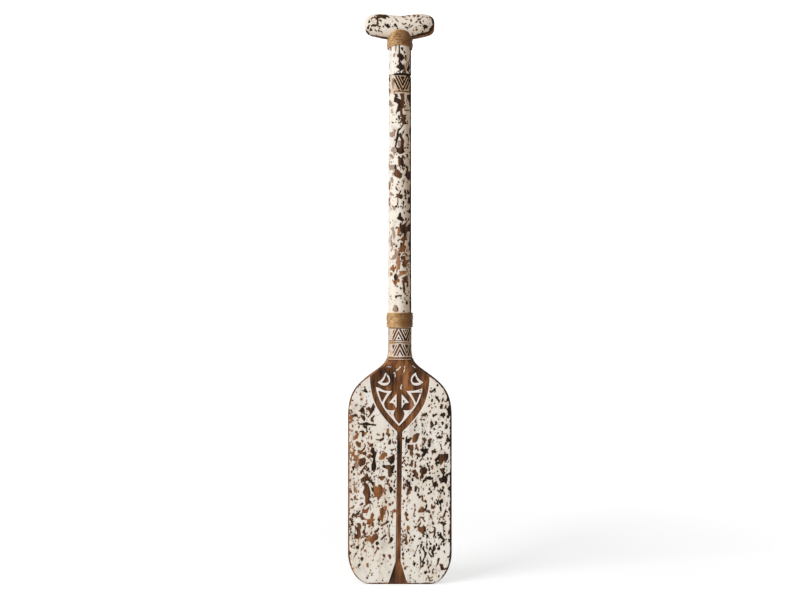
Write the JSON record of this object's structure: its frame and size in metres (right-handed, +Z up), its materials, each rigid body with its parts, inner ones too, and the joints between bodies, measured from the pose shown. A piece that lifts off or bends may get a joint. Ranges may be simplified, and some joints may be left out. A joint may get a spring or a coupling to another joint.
{
  "type": "decorative paddle",
  "caption": "Carved wooden paddle with a flat blade, a round pole and a T grip, pegged and bound with cane at the joints.",
  "frame": {"origin": "middle of the box's underside, at the bottom edge of the blade", "axes": "+Z up the pole to the grip, X across the blade, -Y out of the carved front"},
  "size_m": [0.182, 0.0498, 0.9971],
  "materials": {
    "limewashed_wood": "chalky off-white limewash, chipped through to brown wood",
    "bare_wood": "bare, stained brown",
    "cane": "split cane, golden brown, slightly glossy"
  },
  "bodies": {
    "root": {"blade": "limewashed_wood", "pole": "limewashed_wood", "grip": "limewashed_wood", "neck_peg": "bare_wood", "grip_peg": "bare_wood", "neck_binding": "cane", "neck_lace": "cane", "grip_binding": "cane", "grip_lace": "cane"}
  },
  "joints": []
}
